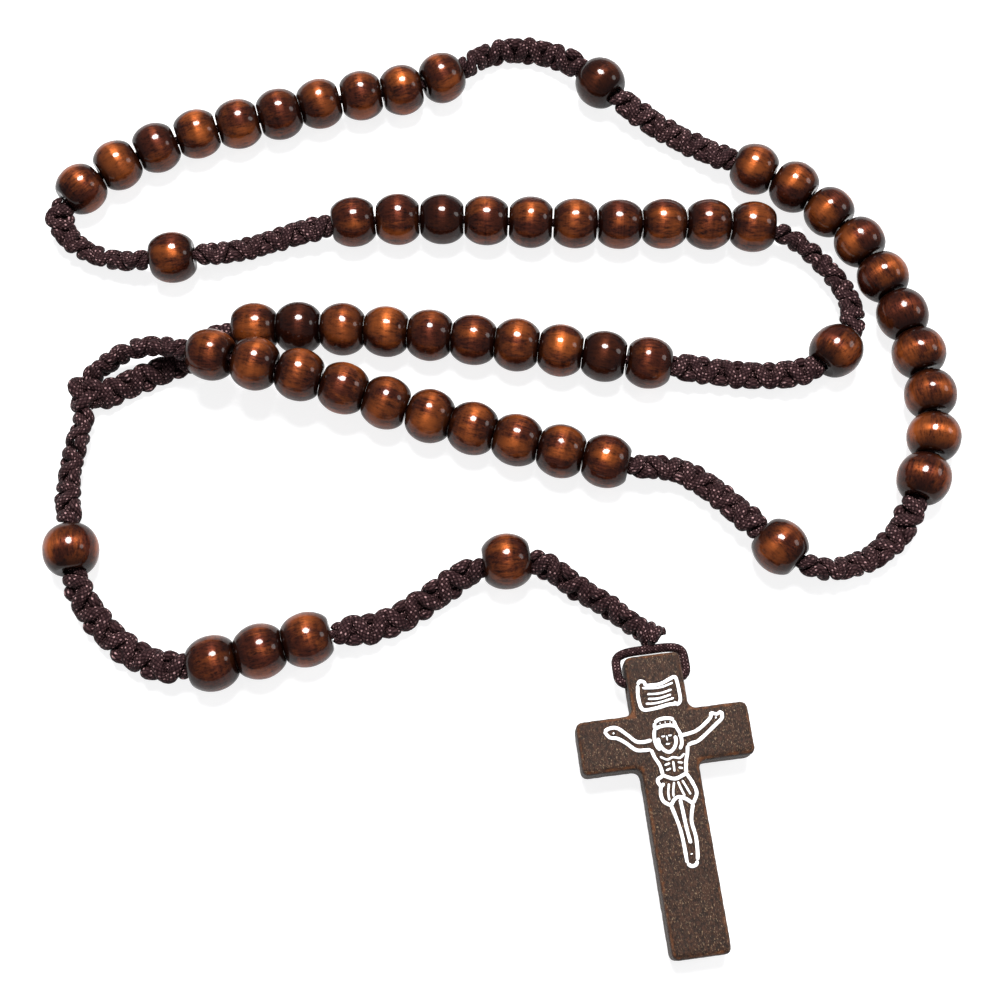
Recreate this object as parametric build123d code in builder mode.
from build123d import *
import math
import os

# A knotted-cord rosary of wooden beads with a wooden cross, lying on a flat surface.
# Frame: origin on the surface under the middle of the laid rosary, +X right, +Y away, +Z up, in mm.
# One loop of five ten-bead decades starts and ends in the centre knot, and a pendant string hangs
# from the same knot. A thin core cord runs through every bead, and knotted cord fills each space.

# ---------------------------------------------------------------- driving dimensions
BEAD_DIAMETER = 8.0
BEAD_LENGTH = 6.2
BEAD_END_DIAMETER = 4.0
BEAD_EDGE_RADIUS = 0.5
BEAD_BORE = 2.6

CORE_DIAMETER = 1.3
KNOTTED_DIAMETER = 3.4
KNOTTED_BORE = 1.6
END_GAP = 0.9

CENTRE_KNOT = (-60.6, 10.2, 2.8)
CENTRE_KNOT_DIAMETER = 5.4
KNOT_LEAD = 2.5

BEND_CLEARANCE = 0.15

CROSS_LENGTH = 39.6
CROSS_SPAN = 23.4
CROSS_THICKNESS = 5.0
UPRIGHT_WIDTH = 7.8
ARM_WIDTH = 7.2
ARM_FROM_TOP = 11.5
CROSS_CORNER_RADIUS = 0.9
CROSS_EDGE_RADIUS = 0.7
HOLE_FROM_TOP = 3.5
HOLE_DIAMETER = 1.9
HOLE_PLACE = (22.0, -33.8)
CROSS_TURN = 7.6
CROSS_TILT = 2.4

LOOP_HEIGHT = 5.0
LOOP_SIDE_GAP = 0.6
LOOP_CORNER_RADIUS = 1.6
PAIR = (5, 6)

# ---------------------------------------------------------------- the lay of the cords
# Points of each route, in the order in which a bead would slide along it from the centre knot.
# A bead's middle lies half a BEAD_DIAMETER up, and the softer knotted spans between beads sag.
# The last decade comes back over the first one, so its end rides higher.
LOOP_POINTS = [
    (-60.0, 8.4, 2.4), (-55.6, 11.8, 2.2), (-49.2, 14.8, 2.0), (-44.4, 16.6, 2.3),
    (-39.8, 20.5, 4.0), (-27.6, 20.7, 4.0), (-13.6, 19.9, 4.0), (-1.0, 18.4, 4.0),
    (12.0, 16.6, 4.0), (24.5, 14.5, 4.1), (32.0, 14.4, 2.3), (40.0, 13.2, 2.3),
    (48.0, 13.4, 4.0), (54.4, 20.0, 4.0), (54.8, 26.4, 2.2), (52.3, 31.5, 2.0),
    (49.1, 35.2, 2.1), (44.0, 38.0, 4.0), (32.0, 38.9, 4.0), (19.0, 38.7, 4.0),
    (6.0, 39.1, 4.0), (-7.0, 39.7, 4.0), (-18.0, 39.6, 4.0), (-25.5, 38.7, 4.0),
    (-32.5, 37.5, 2.3), (-39.0, 35.0, 2.3), (-45.0, 33.4, 4.0), (-53.4, 32.3, 4.0),
    (-59.6, 33.3, 2.3), (-65.4, 35.8, 2.3), (-68.8, 41.0, 4.0), (-60.9, 49.0, 4.0),
    (-49.5, 55.0, 4.0), (-37.0, 58.4, 4.0), (-24.5, 62.4, 4.0), (-13.5, 64.0, 4.0),
    (-5.6, 67.6, 4.0), (-0.4, 73.1, 2.3), (7.4, 73.1, 2.3), (13.8, 69.0, 4.0),
    (20.2, 62.2, 4.0), (26.6, 57.8, 2.3), (33.0, 53.8, 2.3), (38.0, 50.4, 4.0),
    (48.0, 45.5, 4.0), (56.5, 36.5, 4.0), (61.2, 25.6, 4.0), (64.5, 13.4, 4.0),
    (64.9, 2.8, 4.0), (60.9, -7.0, 4.0), (58.0, -12.4, 2.3), (52.0, -16.8, 2.3),
    (44.4, -17.8, 4.0), (37.2, -10.8, 4.0), (32.0, -4.8, 2.3), (26.7, -1.3, 2.3),
    (20.6, -2.1, 4.0), (10.0, 0.4, 4.0), (-2.5, 3.9, 4.0), (-15.0, 7.8, 4.2),
    (-26.5, 11.2, 6.3), (-36.0, 13.1, 7.8), (-45.0, 15.3, 7.1), (-51.4, 17.3, 5.2),
    (-57.6, 15.8, 3.4), (-61.6, 11.4, 2.6),
]
PENDANT_POINTS = [
    (-60.2, 9.0, 2.4), (-61.5, 2.0, 2.3), (-61.9, -5.0, 2.3), (-60.4, -10.4, 4.0),
    (-59.1, -19.0, 4.0), (-55.6, -24.8, 2.3), (-49.6, -30.0, 2.3), (-43.2, -32.4, 4.0),
    (-21.6, -26.7, 4.0), (-15.0, -25.6, 2.3), (-8.0, -20.8, 2.3), (-2.2, -17.0, 4.0),
    (6.4, -15.8, 4.0), (11.6, -19.8, 2.5), (16.4, -22.6, 2.5), (20.2, -26.0, 3.2),
    (22.9, -27.9, 4.0),
]
# Runs of the pendant route that hold a bend, by the number of the point that each starts from.
BEND_RUNS = {"upper": 1, "lower": 9, "cross": 14}

# Each group of beads: the knotted span before it, how many beads, and their pitch.
LOOP_GROUPS = [
    (24.5, 10, 6.60), (23.4, 1, 0), (24.7, 10, 6.90), (22.5, 1, 0), (21.8, 10, 6.74),
    (24.6, 1, 0), (23.3, 10, 6.85), (23.3, 1, 0), (23.4, 10, 6.68),
]
PENDANT_GROUPS = [(21.1, 1, 0), (24.5, 3, 6.60), (24.4, 1, 0)]


# ---------------------------------------------------------------- routes
def corner_radii(points):
    """The largest arc that the two runs beside each inner point allow."""
    radii = []
    for before, here, after in zip(points, points[1:], points[2:]):
        into, away = Vector(here) - Vector(before), Vector(after) - Vector(here)
        turn = math.radians(into.get_angle(away))
        radii.append(0.45 * min(into.length, away.length) / math.tan(turn / 2))
    return radii


def route(name, points):
    """Straight runs joined by tangent arcs."""
    radii = corner_radii(points)
    print(name, "corner radii", [round(r, 1) for r in radii])
    with BuildLine() as line:
        FilletPolyline(*points, radius=radii)
    return line.wires()[0]


def stretch(path, start, end):
    """The part of a route between two distances along it."""
    return path.trim(start / path.length, end / path.length)


def strung(groups):
    """Distances along a route: each knotted span's start and end, and each group's bead centres."""
    spans, centres, here = [], [], 0.0
    for knotted, count, pitch in groups:
        first = here + knotted + BEAD_LENGTH / 2
        spans.append((here, here + knotted))
        centres.append([first + n * pitch for n in range(count)])
        here = centres[-1][-1] + BEAD_LENGTH / 2
    return spans, centres, here


def at(path, distance):
    """The point at a distance along a route."""
    return path.position_at(distance / path.length)


def run_middle(points, number):
    """The middle of one run, where the cord is straight."""
    return (Vector(points[number]) + Vector(points[number + 1])) / 2


# ---------------------------------------------------------------- pieces
def tube(path, diameter, bore=0.0):
    """A round cord, or a sleeve of knotted cord with room for its core."""
    with BuildPart() as made:
        with BuildSketch(Plane(origin=path @ 0, z_dir=path % 0)):
            Circle(diameter / 2)
            if bore:
                Circle(bore / 2, mode=Mode.SUBTRACT)
        sweep(path=path)
    length = path.length
    share = made.part.volume / (math.pi * (diameter**2 - bore**2) / 4 * length)
    if abs(share - 1) > 0.002:
        print("tube of length", round(length, 1), "has volume share", round(share, 4))
    return made.part


def bead_template():
    """A turned barrel bead, its bore along Z and its middle at the origin."""
    half, end, bore = BEAD_LENGTH / 2, BEAD_END_DIAMETER / 2, BEAD_BORE / 2
    with BuildPart() as bead:
        with BuildSketch(Plane.XZ) as profile:
            with BuildLine():
                barrel = ThreePointArc((end, -half), (BEAD_DIAMETER / 2, 0), (end, half))
                Polyline(barrel @ 1, (bore, half), (bore, -half), barrel @ 0)
            make_face()
            shoulders = profile.vertices().sort_by(Axis.X)[-2:]
            fillet(shoulders, BEAD_EDGE_RADIUS)
        revolve(axis=Axis.Z)
    return bead.part


def beads(template, places, direction):
    """One or more beads with their bores on the same line."""
    with BuildPart() as made:
        with Locations(*[Plane(origin=p, z_dir=direction).location for p in places]):
            add(template)
    return made.part


def write(part, name):
    part.label = name
    export_step(part, f"parts/{name}.step")


# ---------------------------------------------------------------- beads
def decade_nodes(path, centres, number):
    """A decade's beads: one node each, and the pair in PAIR on the line through both."""
    nodes = {}
    for n, distance in enumerate(centres):
        if n == PAIR[1]:
            continue
        if n == PAIR[0]:
            places = [at(path, centres[k]) for k in PAIR]
            direction = (places[1] - places[0]).normalized()
            nodes[f"decade_{number}_beads_06_07"] = (places, direction)
        else:
            direction = path.tangent_at(distance / path.length)
            nodes[f"decade_{number}_bead_{n + 1:02d}"] = ([at(path, distance)], direction)
    return nodes


def loop_bead_nodes(path, centres):
    nodes, decades, fathers = {}, 0, 0
    for group in centres:
        if len(group) > 1:
            decades += 1
            nodes.update(decade_nodes(path, group, decades))
        else:
            fathers += 1
            direction = path.tangent_at(group[0] / path.length)
            nodes[f"our_father_bead_{fathers}"] = ([at(path, group[0])], direction)
    return nodes


def pendant_bead_nodes(path, centres):
    names = ["pendant_upper_bead", "pendant_three_beads", "pendant_lower_bead"]
    nodes = {}
    for name, group in zip(names, centres):
        middle = sum(group) / len(group)
        nodes[name] = ([at(path, s) for s in group], path.tangent_at(middle / path.length))
    return nodes


# ---------------------------------------------------------------- cords
def loop_knots(path, spans):
    """Ten knotted sleeves, each ending just short of its beads."""
    with BuildPart() as made:
        for start, end in spans:
            first = start + (END_GAP if start else KNOT_LEAD)
            last = end - (END_GAP if end < path.length else KNOT_LEAD)
            add(tube(stretch(path, first, last), KNOTTED_DIAMETER, KNOTTED_BORE))
    return made.part


def pendant_cord(path, spans, start, end, socket_at=None, ball_at=None):
    """A rigid length of the pendant cord: its core, its knotted spans and its bend faces.

    A bend is a round end on one length, turning in a round hollow in the end of the next.
    """
    ball = KNOTTED_DIAMETER / 2
    with BuildPart() as made:
        add(tube(stretch(path, start, end), CORE_DIAMETER))
        for first, last in spans:
            first = first + END_GAP if first > start else start
            last = last - END_GAP if last < end else end
            if last > first:
                add(tube(stretch(path, first, last), KNOTTED_DIAMETER))
        if ball_at is not None:
            with Locations(ball_at):
                Sphere(ball)
        if socket_at is not None:
            with Locations(socket_at):
                Sphere(ball + BEND_CLEARANCE, mode=Mode.SUBTRACT)
    return made.part


def centre_knot(touching):
    """The tied lump where the loop's two ends meet the pendant."""
    with BuildPart() as knot:
        with Locations(CENTRE_KNOT):
            Sphere(CENTRE_KNOT_DIAMETER / 2)
        for cord in touching:
            add(cord, mode=Mode.SUBTRACT)
    return knot.part


# ---------------------------------------------------------------- cross
def cross_plane():
    """At the middle of the hanging hole: X along the arms, Y towards the top, Z out of the face."""
    tilt, foot = math.radians(CROSS_TILT), CROSS_LENGTH - HOLE_FROM_TOP - CROSS_EDGE_RADIUS
    below = CROSS_THICKNESS / 2 - CROSS_EDGE_RADIUS
    height = foot * math.sin(tilt) + below * math.cos(tilt) + CROSS_EDGE_RADIUS
    flat = Plane(origin=(*HOLE_PLACE, height)).rotated((0, 0, CROSS_TURN))
    return flat.rotated((CROSS_TILT, 0, 0))


def wooden_cross(plane):
    middle = HOLE_FROM_TOP - CROSS_LENGTH / 2
    with BuildPart() as cross:
        with BuildSketch(plane.offset(-CROSS_THICKNESS / 2)):
            with Locations((0, middle)):
                Rectangle(UPRIGHT_WIDTH, CROSS_LENGTH)
            with Locations((0, HOLE_FROM_TOP - ARM_FROM_TOP)):
                Rectangle(CROSS_SPAN, ARM_WIDTH)
        extrude(amount=CROSS_THICKNESS)
        normal = Axis(plane.origin, plane.z_dir)
        fillet(cross.edges().filter_by(normal), CROSS_CORNER_RADIUS)
        faces = cross.faces().filter_by(normal)
        fillet(faces.edges(), CROSS_EDGE_RADIUS)
        side = Plane(origin=plane.origin, z_dir=plane.x_dir)
        with BuildSketch(side):
            Circle(HOLE_DIAMETER / 2)
        extrude(amount=UPRIGHT_WIDTH, both=True, mode=Mode.SUBTRACT)
    return cross.part


def cross_loop(plane, path, start):
    """The thin strand through the cross, and the last knots that hold it."""
    half = UPRIGHT_WIDTH / 2 + LOOP_SIDE_GAP + CORE_DIAMETER / 2
    level = Plane(origin=plane.origin, x_dir=plane.x_dir)
    with BuildSketch(level) as ring:
        with Locations((0, LOOP_HEIGHT / 2)):
            RectangleRounded(2 * half, LOOP_HEIGHT, LOOP_CORNER_RADIUS)
    strand = ring.sketch.face().outer_wire()
    with BuildPart() as made:
        add(tube(strand, CORE_DIAMETER))
        add(pendant_cord(path, [(start, path.length)], start, path.length,
                         socket_at=at(path, start)))
    return made.part


# ---------------------------------------------------------------- assembly
def build():
    """Every node as {name: part}, and each bead node's centres and bore direction."""
    loop, pendant = route("loop", LOOP_POINTS), route("pendant", PENDANT_POINTS)
    loop_spans, loop_centres, last = strung(LOOP_GROUPS)
    loop_spans.append((last, loop.length))
    spans, centres, last = strung(PENDANT_GROUPS)
    spans.append((last, pendant.length))
    print("loop", round(loop.length, 1), "mm, pendant cord", round(pendant.length, 1), "mm")

    pivots = {k: run_middle(PENDANT_POINTS, n) for k, n in BEND_RUNS.items()}
    along = {k: pendant.param_at_point(p) * pendant.length for k, p in pivots.items()}

    nodes = {
        "loop_core_cord": tube(loop, CORE_DIAMETER),
        "loop_knotted_cord": loop_knots(loop, loop_spans),
        "pendant_stub_cord": pendant_cord(
            pendant, spans, KNOT_LEAD, along["upper"], ball_at=pivots["upper"]),
        "pendant_upper_cord": pendant_cord(
            pendant, spans, along["upper"], along["lower"],
            socket_at=pivots["upper"], ball_at=pivots["lower"]),
        "pendant_lower_cord": pendant_cord(
            pendant, spans, along["lower"], along["cross"],
            socket_at=pivots["lower"], ball_at=pivots["cross"]),
    }
    nodes["centre_knot"] = centre_knot(
        [nodes[n] for n in ("loop_core_cord", "loop_knotted_cord", "pendant_stub_cord")])
    plane = cross_plane()
    nodes["cross"] = wooden_cross(plane)
    nodes["cross_loop"] = cross_loop(plane, pendant, along["cross"])

    strings = loop_bead_nodes(loop, loop_centres) | pendant_bead_nodes(pendant, centres)
    template = bead_template()
    for name, (places, direction) in strings.items():
        nodes[name] = beads(template, places, direction)
    return nodes, strings, pivots, plane


os.makedirs("parts", exist_ok=True)
NODES, STRINGS, PIVOTS, CROSS_PLANE = build()
for node_name, node_part in NODES.items():
    write(node_part, node_name)
print(len(NODES), "nodes")
